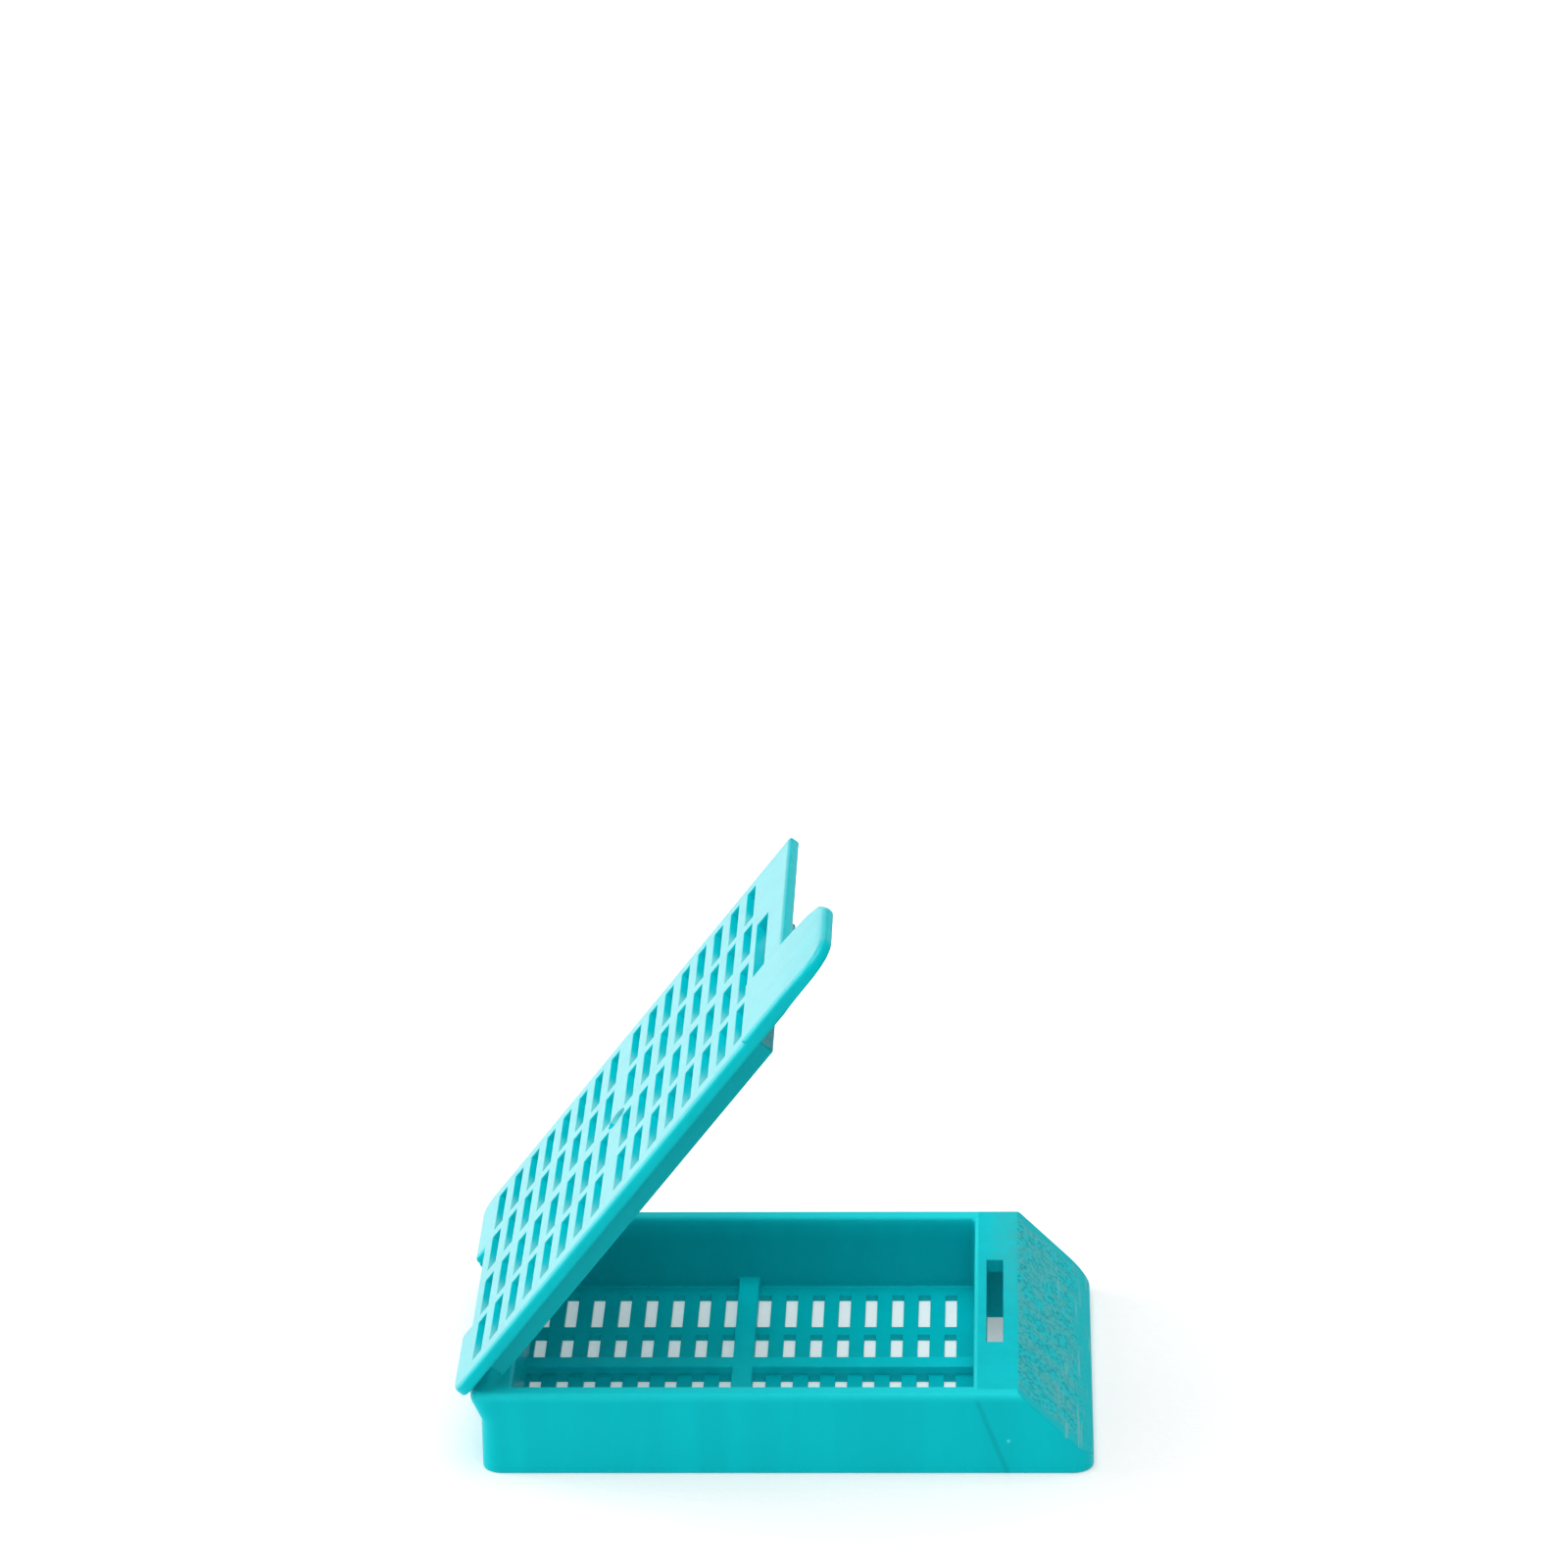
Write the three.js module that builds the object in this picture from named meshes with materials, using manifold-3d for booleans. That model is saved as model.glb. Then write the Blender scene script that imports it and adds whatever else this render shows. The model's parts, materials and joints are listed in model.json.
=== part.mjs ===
// Tissue embedding cassette: a perforated tray and a perforated snap lid, two mouldings.
// Millimetres, +Z up. The origin is the middle of the tray's length and width, on its
// underside; +X points to the sloping writing end, and the hinge is at the -X end.
// The lid stands open at rest.
import * as THREE from 'three';
import { mergeVertices } from 'three/addons/utils/BufferGeometryUtils.js';
import Module from 'manifold-3d';

const wasm = await Module();
wasm.setup();

// ---------- driving dimensions: tray ----------
const TRAY_LENGTH = 41.0;        // rear rim to front lip
const TRAY_WIDTH = 28.1;
const TRAY_HEIGHT = 5.8;
const REAR_CORNER = 1.3;         // plan radius of the rear corners
const FRONT_CORNER = 1.4;        // plan radius of the front corners
const REAR_RIM_OVERHANG = 0.8;   // rim reaches this far behind the lower rear wall
const RIM_BAND = 1.0;            // nearly upright band of the rear rim
const RIM_BAND_LEAN = 0.2;
const RIM_CHAMFER = 0.7;         // rear rim's top edge, clear of the turning lid
const RIM_CHAMFER_DROP = 0.4;
const RIM_TAPER = 1.25;          // height over which the rim tapers into the wall
const SIDE_WALL = 1.15;
const REAR_WALL = 2.85;          // at the rim, from its rear edge to the cavity
const CAVITY_CORNER = 0.5;
const FLOOR_TOP = 0.5;
const RIB_RISE = 0.7;            // cross ribs above the floor
const RIB_LONG_WIDTH = 1.5;      // rib along X
const RIB_CROSS_WIDTH = 1.4;     // rib along Y
const TOP_FLAT = 3.0;            // flat strip between the cavity and the slope
const SLOPE_DEG = 45;            // writing face
const LIP_HEIGHT = 0.9;          // upright lip below the writing face
const SHELL = 1.0;               // wall of the hollow under the writing face
const POCKET_SIDE = 5.05;        // side wall of the hollow under the writing face
const LATCH_SLOT_WIDTH = 1.1;
const LATCH_WALL = 0.85;         // wall between the cavity and the latch slot

// ---------- driving dimensions: hole pattern ----------
const ROWS_PER_FIELD = 8;        // a field of rows on each side of the cross rib
const TRAY_INNER_COLUMN = 4.75;  // hole size along Y, inner columns
const TRAY_COLUMN_BAR = 1.2;     // bar between the inner and the outer column
const TRAY_HOLE_TO_WALL = 1.25;  // outer column to the tray's side wall
const TRAY_HOLE = 0.8;           // hole size along X
const TRAY_REAR_MARGIN = 0.25;
const TRAY_FRONT_MARGIN = 1.25;
const RIB_CLEAR = 0.07;          // hole edge to cross rib
const LID_INNER_COLUMN = 5.25;
const LID_COLUMN_BAR = 1.1;
const LID_SLOT_TO_WALL = 0.25;   // outer column to the line of the tray's side wall
const LID_SLOT = 0.92;           // slot size along X
const LID_REAR_BAR = 1.03;       // hinge notch to the lid's first row
const ROW_TO_SKIRT = 0.03;       // lid's last row to the front skirt
const LID_MID_BAR = 1.56;        // wide bar between the lid's two fields

// ---------- driving dimensions: hinge ----------
const PIN_RADIUS = 0.45;
const PIN_INSIDE_RIM = 0.95;     // pin axis ahead of the rim's rear edge
const RECESS_CLEARANCE = 0.3;    // ear to the rear wall, which is cut back at the hinge
const RECESS_SIDE_GAP = 0.35;    // end of that recess to the ear
const PIN_BELOW_LID = 1.69;      // pin axis below the lid's underside
const LID_REAR_EDGE = 0.1;       // lid's rear edge ahead of the pin axis, when shut
const EAR_REACH = 0.5;           // ear radius round the pin
const EAR_THICKNESS = 0.55;
const HOOK_WIDTH = 10.4;
const HOOK_CLEARANCE = 0.3;      // round the pin
const HOOK_WALL = 0.7;
const HOOK_ROOT = 1.13;          // front face of the hook, ahead of the pin axis
const HOOK_CROWN = 1.9;          // top of the hook, round the pin axis
const HOOK_CROWN_DEG = [54, 112];
const HOOK_CURL_DEG = [150, 280];
const EAR_BACK_DEG = 160;        // where the ear's back leaves its round end
const LID_OPEN_DEG = 52;         // lid angle at rest

// ---------- driving dimensions: lid ----------
const LID_FRONT_OVERHANG = 0.3;  // lid's front edge past the top of the writing face
const LID_SIDE_OVERHANG = 0.2;
const LID_THICKNESS = 0.9;
const LID_SEAT_GAP = 0.1;        // closed lid above the tray's rim
const LID_CORNER = 1.3;
const NOTCH_SIDE_GAP = 0.75;     // notch to the hook's side
const NOTCH_FRONT_GAP = 0.15;    // notch to the hook's front face
const SKIRT_DEPTH = 1.4;
const SKIRT_THICKNESS = 0.7;
const SKIRT_TO_WALL = 0.3;
const SKIRT_SWING_GAP = 0.09;    // turning side skirts to the top edge of the rear wall
const SKIRT_FRONT_GAP = 0.12;    // front skirt to the cavity's front wall
const SKIRT_FRONT_THICKNESS = 0.3;
const WINDOW_WIDTH = 1.2;        // latch window, along X, just behind the tongue
const TONGUE_LENGTH = 8.8;       // latch tongue, along Y
const TONGUE_THICKNESS = 0.4;
const TONGUE_FRONT_GAP = 0.15;   // tongue to the front of the latch slot
const TONGUE_SIDE_GAP = 1.85;    // tongue to each end of the latch slot
const TONGUE_DEPTH = 1.15;
const TAB_WIDTH = 9.4;
const TAB_REACH = 5.0;           // arc length of the bent part
const TAB_ROOT_THICKNESS = 1.0;
const TAB_TIP_THICKNESS = 0.8;
const TAB_BEND_DEG = 5;
const TAB_RISE = 0.12;           // tab pad above the lid
const TAB_CORNER = 2.3;
const TAB_PAD_GAP = 0.1;         // last row of slots to the pad's rear step
const TAB_BEND_BACK = 0.3;       // bend starts this far behind the lid's front edge
const DIMPLE_RADIUS = 0.88;
const DIMPLE_DEPTH = 0.3;

// ---------- working allowances ----------
const CUT = 1;                   // a cutter runs this far past the face it opens
const EMBED = 0.2;               // an added member sinks this far into its neighbour

// ---------- derived positions ----------
const rearX = -TRAY_LENGTH / 2;
const frontX = TRAY_LENGTH / 2;
const halfWidth = TRAY_WIDTH / 2;
const pinX = rearX + PIN_INSIDE_RIM;
const lidUnderZ = TRAY_HEIGHT + LID_SEAT_GAP;
const pinZ = lidUnderZ - PIN_BELOW_LID;
const cavityRear = rearX + REAR_WALL;
const cavityHalf = halfWidth - SIDE_WALL;
const slopeTan = Math.tan(THREE.MathUtils.degToRad(SLOPE_DEG));
const slopeStart = frontX - (TRAY_HEIGHT - LIP_HEIGHT) / slopeTan;
const cavityFront = slopeStart - TOP_FLAT;
const trayColumns = columnEnds(TRAY_INNER_COLUMN, TRAY_COLUMN_BAR, TRAY_HOLE_TO_WALL);
const lidColumns = columnEnds(LID_INNER_COLUMN, LID_COLUMN_BAR, LID_SLOT_TO_WALL);

// Ends of the four columns of holes, beside the middle rib and out to the side walls.
function columnEnds(inner, bar, toWall) {
  const start = RIB_LONG_WIDTH / 2;
  const end = start + inner;
  const outer = cavityHalf - toWall;
  return [[-outer, -end - bar], [-end, -start], [start, end], [end + bar, outer]];
}

// ---------- solids ----------
function solid(geometry) {
  const g = geometry.clone();
  g.deleteAttribute('normal');
  g.deleteAttribute('uv');
  const merged = mergeVertices(g, 1e-5);
  return new wasm.Manifold(new wasm.Mesh({
    numProp: 3,
    vertProperties: new Float32Array(merged.attributes.position.array),
    triVerts: new Uint32Array(merged.index.array),
  }));
}

function box(x0, x1, y0, y1, z0, z1) {
  const g = new THREE.BoxGeometry(x1 - x0, y1 - y0, z1 - z0);
  return solid(g.translate((x0 + x1) / 2, (y0 + y1) / 2, (z0 + z1) / 2));
}

// Outline points without repeats where an arc meets a straight line.
function cleaned(points) {
  return points.filter((p, i) => p.distanceTo(points[(i + 1) % points.length]) > 1e-4);
}

// A plan outline raised from z0 to z1.
function raised(shape, z0, z1) {
  const outline = new THREE.Shape(cleaned(shape.getPoints(6)));
  const g = new THREE.ExtrudeGeometry(outline, { depth: z1 - z0, bevelEnabled: false });
  return solid(g.translate(0, 0, z0));
}

// A side profile, points [x, z], carried from y0 to y1.
function profile(points, y0, y1) {
  const shape = new THREE.Shape(points.map(([x, z]) => new THREE.Vector2(x, z)));
  const g = new THREE.ExtrudeGeometry(shape, { depth: y1 - y0, bevelEnabled: false });
  return solid(g.rotateX(Math.PI / 2).translate(0, y1, 0));
}

// A rectangle with its own radius at the rear (-X) and front (+X) corners.
function roundedPlan(x0, x1, y0, y1, rear, front) {
  const s = new THREE.Shape();
  s.moveTo(x0 + rear, y0);
  s.lineTo(x1 - front, y0);
  if (front > 0) s.absarc(x1 - front, y0 + front, front, -Math.PI / 2, 0);
  s.lineTo(x1, y1 - front);
  if (front > 0) s.absarc(x1 - front, y1 - front, front, 0, Math.PI / 2);
  s.lineTo(x0 + rear, y1);
  if (rear > 0) s.absarc(x0 + rear, y1 - rear, rear, Math.PI / 2, Math.PI);
  if (rear > 0) {
    s.lineTo(x0, y0 + rear);
    s.absarc(x0 + rear, y0 + rear, rear, Math.PI, Math.PI * 1.5);
  }
  return s;
}

// Start positions of both fields of rows between two ends.
function rowStarts(start, end, size, middle) {
  const n = ROWS_PER_FIELD;
  const pitch = (end - start - middle - 2 * size) / (2 * (n - 1));
  const second = start + (n - 1) * pitch + size + middle;
  const starts = [];
  for (let i = 0; i < n; i++) starts.push(start + i * pitch);
  for (let i = 0; i < n; i++) starts.push(second + i * pitch);
  return { starts, middleAt: second - middle / 2 };
}

function arc(cx, cz, r, fromDeg, toDeg, steps) {
  const out = [];
  for (let i = 0; i <= steps; i++) {
    const a = THREE.MathUtils.degToRad(fromDeg + (toDeg - fromDeg) * i / steps);
    out.push([cx + r * Math.cos(a), cz + r * Math.sin(a)]);
  }
  return out;
}

function mesh(name, body, material) {
  const m = body.getMesh();
  const g = new THREE.BufferGeometry();
  g.setAttribute('position', new THREE.BufferAttribute(new Float32Array(m.vertProperties), 3));
  g.setIndex(new THREE.BufferAttribute(new Uint32Array(m.triVerts), 1));
  g.computeVertexNormals();
  const out = new THREE.Mesh(g, material);
  out.name = name;
  return out;
}

// ---------- tray ----------
// Outer block: the rear wall steps in below the rim, the front slopes down to the lip.
const lowerRearX = rearX + REAR_RIM_OVERHANG;
let tray = profile([
  [lowerRearX, 0], [frontX, 0], [frontX, LIP_HEIGHT], [slopeStart, TRAY_HEIGHT],
  [rearX + RIM_CHAMFER, TRAY_HEIGHT], [rearX, TRAY_HEIGHT - RIM_CHAMFER_DROP],
  [rearX + RIM_BAND_LEAN, TRAY_HEIGHT - RIM_BAND],
  [lowerRearX, TRAY_HEIGHT - RIM_BAND - RIM_TAPER],
], -halfWidth, halfWidth);
tray = tray.intersect(raised(
  roundedPlan(rearX, frontX, -halfWidth, halfWidth, REAR_CORNER, FRONT_CORNER),
  -CUT, TRAY_HEIGHT + CUT));

// Cavity and its perforated floor.
tray = tray.subtract(raised(
  roundedPlan(cavityRear, cavityFront, -cavityHalf, cavityHalf, CAVITY_CORNER, CAVITY_CORNER),
  FLOOR_TOP, TRAY_HEIGHT + CUT));
const crossGap = RIB_CROSS_WIDTH + 2 * RIB_CLEAR;
const trayRows = rowStarts(cavityRear + TRAY_REAR_MARGIN, cavityFront - TRAY_FRONT_MARGIN,
  TRAY_HOLE, crossGap);
const ribX = trayRows.middleAt;
const halfRib = RIB_LONG_WIDTH / 2;
const halfCross = RIB_CROSS_WIDTH / 2;
for (const x of trayRows.starts) {
  for (const [y0, y1] of trayColumns) {
    tray = tray.subtract(box(x, x + TRAY_HOLE, y0, y1, -CUT, FLOOR_TOP + CUT));
  }
}
const ribTop = FLOOR_TOP + RIB_RISE;
tray = tray.add(box(cavityRear - EMBED, cavityFront + EMBED, -halfRib, halfRib, 0, ribTop));
tray = tray.add(box(ribX - halfCross, ribX + halfCross, -cavityHalf - EMBED,
  cavityHalf + EMBED, 0, ribTop));

// Hollow under the writing face, open downwards, with the latch slot through its roof.
const slotX0 = cavityFront + LATCH_WALL;
const slotX1 = slotX0 + LATCH_SLOT_WIDTH;
const roofZ = TRAY_HEIGHT - SHELL;
const slopeShift = SHELL * Math.hypot(1, slopeTan);     // shell measured square to the slope
const innerFront = frontX - SHELL;
const innerRoofX = slopeStart + (TRAY_HEIGHT - slopeShift - roofZ) / slopeTan;
const innerLipZ = TRAY_HEIGHT - slopeShift - (innerFront - slopeStart) * slopeTan;
tray = tray.subtract(profile([
  [slotX0, -CUT], [innerFront, -CUT], [innerFront, innerLipZ], [innerRoofX, roofZ],
  [slotX0, roofZ],
], -halfWidth + POCKET_SIDE, halfWidth - POCKET_SIDE));
const halfSlot = TONGUE_LENGTH / 2 + TONGUE_SIDE_GAP;
tray = tray.subtract(box(slotX0, slotX1, -halfSlot, halfSlot, roofZ - CUT, TRAY_HEIGHT + CUT));

// The rear wall is cut back at the hinge, where the ears and the pin turn.
const halfNotch = HOOK_WIDTH / 2 + NOTCH_SIDE_GAP;
const recessX = pinX + EAR_REACH + RECESS_CLEARANCE;
const halfRecess = halfNotch + EAR_THICKNESS + RECESS_SIDE_GAP;
tray = tray.subtract(box(rearX - CUT, recessX, -halfRecess, halfRecess,
  -CUT, TRAY_HEIGHT + CUT));

// Hook: rises from the rim, passes over the hinge pin and curls down behind it.
const hookInner = PIN_RADIUS + HOOK_CLEARANCE;
const hookOuter = hookInner + HOOK_WALL;
const hookFront = pinX + HOOK_ROOT;
const hookRootZ = TRAY_HEIGHT - EMBED;
tray = tray.add(profile([
  [hookFront, hookRootZ], [hookFront, TRAY_HEIGHT],
  ...arc(pinX, pinZ, HOOK_CROWN, ...HOOK_CROWN_DEG, 5),
  ...arc(pinX, pinZ, hookOuter, ...HOOK_CURL_DEG, 6),
  ...arc(pinX, pinZ, hookInner, HOOK_CURL_DEG[1], 0, 12),
  [recessX + 2 * EMBED, pinZ],
], -HOOK_WIDTH / 2, HOOK_WIDTH / 2));

// ---------- lid, in its own frame: x from the pin's axis, z from its underside ----------
const lidLength = slopeStart + LID_FRONT_OVERHANG - pinX;
const halfLid = halfWidth + LID_SIDE_OVERHANG;
const notchDepth = HOOK_ROOT + NOTCH_FRONT_GAP;
const lidOutline = new THREE.Shape();
lidOutline.moveTo(LID_REAR_EDGE + LID_CORNER, -halfLid);
lidOutline.lineTo(lidLength, -halfLid);
lidOutline.lineTo(lidLength, halfLid);
lidOutline.lineTo(LID_REAR_EDGE + LID_CORNER, halfLid);
const cornerX = LID_REAR_EDGE + LID_CORNER;
const cornerY = halfLid - LID_CORNER;
lidOutline.absarc(cornerX, cornerY, LID_CORNER, Math.PI / 2, Math.PI);
lidOutline.lineTo(LID_REAR_EDGE, halfNotch);
lidOutline.lineTo(notchDepth, halfNotch);
lidOutline.lineTo(notchDepth, -halfNotch);
lidOutline.lineTo(LID_REAR_EDGE, -halfNotch);
lidOutline.absarc(cornerX, -cornerY, LID_CORNER, Math.PI, Math.PI * 1.5);
let lid = raised(lidOutline, 0, LID_THICKNESS);

// Places that follow the tray: the front skirt, the tongue over the latch slot, the window.
const skirtHalf = cavityHalf - SKIRT_TO_WALL;
const skirtSwing = Math.hypot(cavityRear - pinX, TRAY_HEIGHT - pinZ) + SKIRT_SWING_GAP;
const skirtRear = Math.sqrt(skirtSwing ** 2 - (PIN_BELOW_LID - SKIRT_DEPTH) ** 2);
const skirtFront = cavityFront - SKIRT_FRONT_GAP - pinX;
const tongueX1 = slotX1 - TONGUE_FRONT_GAP - pinX;
const tongueX0 = tongueX1 - TONGUE_THICKNESS;
const lastRowEnd = skirtFront - SKIRT_FRONT_THICKNESS - ROW_TO_SKIRT;

// Thumb tab: a raised pad on the front corner that carries on past the edge, dipping a little.
const midLid = LID_THICKNESS / 2;
const bend = THREE.MathUtils.degToRad(TAB_BEND_DEG);
const bendSteps = 6;
const tabTop = LID_THICKNESS + TAB_RISE;
const topRadius = TAB_REACH / bend;
const bendX = lidLength - TAB_BEND_BACK;
const padX = lastRowEnd + TAB_PAD_GAP;
const tabTopLine = [];
const tabLowLine = [];
for (let i = 0; i <= bendSteps; i++) {
  const a = bend * i / bendSteps;
  const thins = (TAB_ROOT_THICKNESS - TAB_TIP_THICKNESS) * i / bendSteps;
  const r = topRadius - TAB_ROOT_THICKNESS + thins;
  const bendZ = tabTop - topRadius;                     // centre of the bend
  tabTopLine.push([bendX + topRadius * Math.sin(a), bendZ + topRadius * Math.cos(a)]);
  tabLowLine.unshift([bendX + r * Math.sin(a), bendZ + r * Math.cos(a)]);
}
const tabInner = -halfLid + TAB_WIDTH;
const tabTip = bendX + topRadius * Math.sin(bend);
const tab = profile([
  [padX, midLid], [padX, tabTop], ...tabTopLine, ...tabLowLine, [bendX - EMBED, midLid],
], -halfLid, tabInner);
lid = lid.add(tab.intersect(raised(
  roundedPlan(padX - CUT, tabTip, -halfLid, tabInner, 0, TAB_CORNER), -TAB_REACH, TAB_REACH)));

// Rows of slots, the latch window, and the gate dimple in the middle of the wide bar.
const lidRows = rowStarts(notchDepth + LID_REAR_BAR, lastRowEnd, LID_SLOT, LID_MID_BAR);
for (const x of lidRows.starts) {
  for (const [y0, y1] of lidColumns) {
    lid = lid.subtract(box(x, x + LID_SLOT, y0, y1, -CUT, LID_THICKNESS + CUT));
  }
}
lid = lid.subtract(box(tongueX0 - WINDOW_WIDTH, tongueX0, -TONGUE_LENGTH / 2, TONGUE_LENGTH / 2,
  -CUT, LID_THICKNESS + CUT));
const dimple = new THREE.CylinderGeometry(DIMPLE_RADIUS, DIMPLE_RADIUS, 2 * DIMPLE_DEPTH, 20);
dimple.rotateX(Math.PI / 2).translate(lidRows.middleAt, 0, LID_THICKNESS);
lid = lid.subtract(solid(dimple));

// Skirt that drops into the cavity: two sides and a front.
for (const side of [-1, 1]) {
  const ys = [side * skirtHalf, side * (skirtHalf - SKIRT_THICKNESS)].sort((a, b) => a - b);
  lid = lid.add(box(skirtRear, skirtFront, ys[0], ys[1], -SKIRT_DEPTH, midLid));
}
lid = lid.add(box(skirtFront - SKIRT_FRONT_THICKNESS, skirtFront, -skirtHalf, skirtHalf,
  -SKIRT_DEPTH, EMBED));

// Latch tongue, just ahead of the window.
lid = lid.add(box(tongueX0, tongueX1, -TONGUE_LENGTH / 2, TONGUE_LENGTH / 2,
  -TONGUE_DEPTH, EMBED));

// Ears down from the notch's sides, and the hinge pin between them.
const earProfile = [
  [EAR_REACH, midLid], [LID_REAR_EDGE, midLid], ...arc(0, -PIN_BELOW_LID, EAR_REACH, EAR_BACK_DEG, 360, 12),
];
for (const side of [-1, 1]) {
  const ys = [side * halfNotch, side * (halfNotch + EAR_THICKNESS)].sort((a, b) => a - b);
  lid = lid.add(profile(earProfile, ys[0], ys[1]));
}
const pin = new THREE.CylinderGeometry(PIN_RADIUS, PIN_RADIUS, 2 * halfNotch + EAR_THICKNESS, 16);
lid = lid.add(solid(pin.translate(0, 0, -PIN_BELOW_LID)));

// ---------- assembly ----------
const trayPlastic = new THREE.MeshStandardMaterial({
  color: 0x12b9c3, roughness: 0.5, metalness: 0,
});
const lidPlastic = new THREE.MeshStandardMaterial({
  color: 0x3fd0d6, roughness: 0.5, metalness: 0,
});

const cassette = new THREE.Group();
cassette.add(mesh('base', tray, trayPlastic));

const hinge = new THREE.Group();
hinge.position.set(pinX, 0, pinZ);
hinge.rotation.y = -THREE.MathUtils.degToRad(LID_OPEN_DEG);
const lidMesh = mesh('lid', lid, lidPlastic);
lidMesh.position.set(0, 0, PIN_BELOW_LID);
hinge.add(lidMesh);
cassette.add(hinge);

export default cassette;
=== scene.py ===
import json
import math

import bmesh
import bpy
from mathutils import Matrix, Quaternion, Vector


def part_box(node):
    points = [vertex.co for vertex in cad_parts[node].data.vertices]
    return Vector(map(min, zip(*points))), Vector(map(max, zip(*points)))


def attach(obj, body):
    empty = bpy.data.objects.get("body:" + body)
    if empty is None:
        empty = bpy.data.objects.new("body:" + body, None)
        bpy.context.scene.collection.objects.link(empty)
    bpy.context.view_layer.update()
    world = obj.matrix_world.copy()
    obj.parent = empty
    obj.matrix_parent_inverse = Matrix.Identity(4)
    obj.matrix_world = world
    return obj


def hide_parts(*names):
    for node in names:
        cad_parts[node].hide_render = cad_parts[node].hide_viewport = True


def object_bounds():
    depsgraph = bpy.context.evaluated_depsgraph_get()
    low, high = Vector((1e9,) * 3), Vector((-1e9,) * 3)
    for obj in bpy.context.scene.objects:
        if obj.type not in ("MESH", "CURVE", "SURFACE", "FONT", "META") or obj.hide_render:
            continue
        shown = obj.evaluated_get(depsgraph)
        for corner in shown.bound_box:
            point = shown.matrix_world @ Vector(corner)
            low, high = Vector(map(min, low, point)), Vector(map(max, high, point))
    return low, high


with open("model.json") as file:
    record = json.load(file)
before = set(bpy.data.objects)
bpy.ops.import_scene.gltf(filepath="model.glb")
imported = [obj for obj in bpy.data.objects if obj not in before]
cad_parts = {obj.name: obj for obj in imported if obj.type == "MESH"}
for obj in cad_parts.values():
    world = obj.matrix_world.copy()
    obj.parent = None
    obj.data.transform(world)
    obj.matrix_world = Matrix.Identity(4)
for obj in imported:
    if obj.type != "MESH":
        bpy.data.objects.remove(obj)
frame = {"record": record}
cad_low, cad_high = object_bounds()

MM = 0.001                                     # sizes below are in millimetres


# ---------------------------------------------------------------------------------------
# Tray. One injection moulding in satin acetal: long walls, a floor of rectangular drainage
# holes with a rib each way, and a hollow front end that slopes down to a lip. It is laid
# out as a grid of cells, solid or open, whose edges are then rounded.
# ---------------------------------------------------------------------------------------
hinge = frame["record"]["behaviour"]["joints"][0]
tray_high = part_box("base")[1] / MM
PIN_X = hinge["pos_m"][0] / MM
PIN_Z = hinge["pos_m"][2] / MM

HALF_TRAY = tray_high[1]
LIP_X = tray_high[0]
RIM_X = PIN_X - 0.95                           # rear edge of the rim
RIM_Z = PIN_Z + 1.59
RIM_DROP = (0.65, 0.4)                         # rear rim's top edge, along X and Z
RIM_BAND_Z = RIM_Z - 1.0                       # the rear rim tapers in below this
RIM_TAPER_Z = RIM_BAND_Z - 1.25
RIM_OVERHANG = 0.8
RIM_LEAN = 0.2
FLOOR_Z = 0.5
RIB_Z = 1.2
HALF_CAVITY = HALF_TRAY - 1.15
CAVITY_REAR = RIM_X + 2.85
SLOPE_X = LIP_X - 4.9                          # top of the writing face, at 45 degrees
CAVITY_FRONT = SLOPE_X - 3.0
SLOT_X = (CAVITY_FRONT + 0.85, CAVITY_FRONT + 1.95)
HALF_SLOT = 6.25
RECESS_X = PIN_X + 0.8                         # rear wall behind the hinge
HALF_RECESS = 6.85
ROOF_Z = 4.8                                   # roof of the hollow front end
ROOF_BEND_X = SLOPE_X - 0.414
POCKET_FRONT = LIP_X - 1.0
HALF_POCKET = 9.0
THINNEST = 0.25                                # roof height over top height, at the lip
REAR_CORNER = 1.3
FRONT_CORNER = 1.4
CORNER_FROM_Y = 9.0                            # plan corners bend the lines past this
HALF_RIB = 0.75
TRAY_COLUMNS = ((-11.65, -6.7), (-5.5, -0.75), (0.75, 5.5), (6.7, 11.65))
CROSS_RIB_GAP = 1.54
RIB_TO_HOLE = 0.07
HOLE = 0.8
HOLES_X = (CAVITY_REAR + 0.25, CAVITY_FRONT - 1.25)
ROWS_PER_FIELD = 8                             # a field of rows on each side of the cross rib
SOFT = {"hole": 0.06, "rib": 0.12, "rim": 0.25, "near rim": 0.42, "lip": 0.16, "mouth": 0.25,
        "near mouth": 0.1, "foot": 0.15, "wall": 0.14, "corner": 0.3, "slope": 0.2,
        "slot": 0.1}
ROUND_STEPS = 3
SHARP_TURN = math.radians(34)                  # edges that turn more than this are rounded
FLAT_TURN = math.radians(0.5)                  # faces that turn less than this are one
CLOSE = 0.02                                   # places this near count as the same
SAME_LINE = 1e-4                               # and so do grid lines this near


def row_starts(first, last, size, middle):
    """Start of each row: two fields of rows, with a wider bar between."""
    steps = ROWS_PER_FIELD - 1
    pitch = (last - first - middle - 2 * size) / (2 * steps)
    second = first + steps * pitch + size + middle
    return [start + i * pitch for start in (first, second) for i in range(ROWS_PER_FIELD)]


def grid_lines(*values):
    """Grid lines from numbers and lists of numbers, in order, each once."""
    flat = []
    for value in values:
        flat.extend(value if isinstance(value, (list, tuple)) else [value])
    kept = []
    for value in sorted(flat):
        if not kept or value - kept[-1] > SAME_LINE:
            kept.append(value)
    return kept


def near(a, b):
    return abs(a - b) < CLOSE


def within(v, pairs):
    return any(low < v < high for low, high in pairs)


def cell_middles(values):
    return [(a + b) / 2 for a, b in zip(values, values[1:])]


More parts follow.
